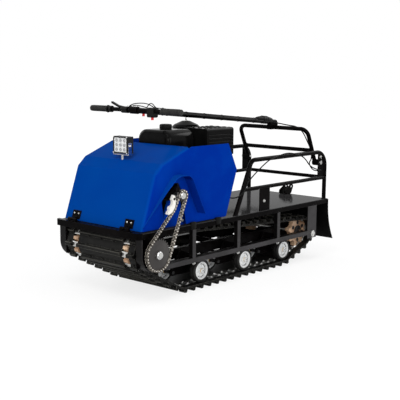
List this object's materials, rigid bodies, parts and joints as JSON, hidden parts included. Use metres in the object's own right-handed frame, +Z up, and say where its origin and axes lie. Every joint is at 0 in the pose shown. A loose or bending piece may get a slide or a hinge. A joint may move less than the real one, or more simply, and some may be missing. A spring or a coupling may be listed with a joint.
{
  "type": "tracked snow tug",
  "caption": "Walk-behind tracked snow tug with a rubber track, load deck between tube rails, tilting engine cowl, chain drive on the left and a steering handle folded forward.",
  "frame": {"origin": "on the ground under the middle of the bounding box", "axes": "+X forward, +Y to the vehicle's left (chain side), +Z up"},
  "size_m": [1.6898, 0.674, 0.98],
  "materials": {
    "track_rubber": "matte",
    "wheel_rubber": "matte",
    "flap_rubber": "satin",
    "grip_rubber": "matte",
    "sprocket_plastic": "satin",
    "wheel_white": "satin",
    "zinc_steel": "satin",
    "sprocket_steel": "satin",
    "chain_steel": "satin",
    "frame_black": "gloss",
    "deck_grey": "gloss",
    "cowl_blue": "gloss",
    "engine_black": "satin",
    "lamp_black": "satin",
    "lens_clear": "gloss",
    "shoe_white": "satin",
    "control_black": "satin",
    "cable_black": "satin",
    "button_red": "gloss"
  },
  "bodies": {
    "chassis": {"track": "track_rubber", "drive_sprockets": "sprocket_plastic", "idler_sprockets": "sprocket_plastic", "drive_axle": "zinc_steel", "idler_axle": "zinc_steel", "wheel_discs": "wheel_white", "wheel_tyres": "wheel_rubber", "wheel_axles": "zinc_steel", "bogie_tubes": "frame_black", "bogie_rockers": "frame_black", "suspension_beams": "frame_black", "top_rails": "frame_black", "cross_members": "frame_black", "frame_posts": "frame_black", "lower_rails": "frame_black", "cheek_plates": "frame_black", "axle_plates": "frame_black", "bumper": "frame_black", "deck": "deck_grey", "rear_flap": "flap_rubber", "tow_hitch": "frame_black", "load_rail_left": "frame_black", "load_rail_right": "frame_black", "rear_cross_rail": "frame_black", "side_plates": "frame_black", "pivot_bolts": "zinc_steel", "rail_cable": "cable_black", "hinge_bases": "frame_black", "engine_block": "engine_black", "engine_rails": "frame_black", "fuel_tank": "engine_black", "muffler_guard": "engine_black", "jackshaft": "zinc_steel", "jackshaft_stands": "cowl_blue", "small_sprocket": "sprocket_steel", "large_sprocket": "sprocket_steel", "chain": "chain_steel", "chain_tensioner": "frame_black", "tensioner_shoe": "shoe_white", "air_cleaner": "engine_black"},
    "cowl": {"cowl": "cowl_blue", "hinge_leaves": "frame_black", "lamp_housing": "lamp_black", "lamp_lens": "lens_clear", "lamp_bracket": "zinc_steel"},
    "handle": {"handle_fork": "frame_black", "handle_column": "frame_black", "handlebar": "frame_black", "grips": "grip_rubber", "handle_controls": "control_black", "stop_buttons": "button_red", "handle_cable": "cable_black"}
  },
  "joints": [
    {"name": "handle_fold", "type": "hinge", "parent": "chassis", "child": "handle", "pos_m": [-0.7, 0, 0.597], "axis": [0, -1, 0], "range_deg": [0, 150]},
    {"name": "cowl_tilt", "type": "hinge", "parent": "chassis", "child": "cowl", "pos_m": [0.828, 0, 0.385], "axis": [0, 1, 0], "range_deg": [0, 24]}
  ]
}
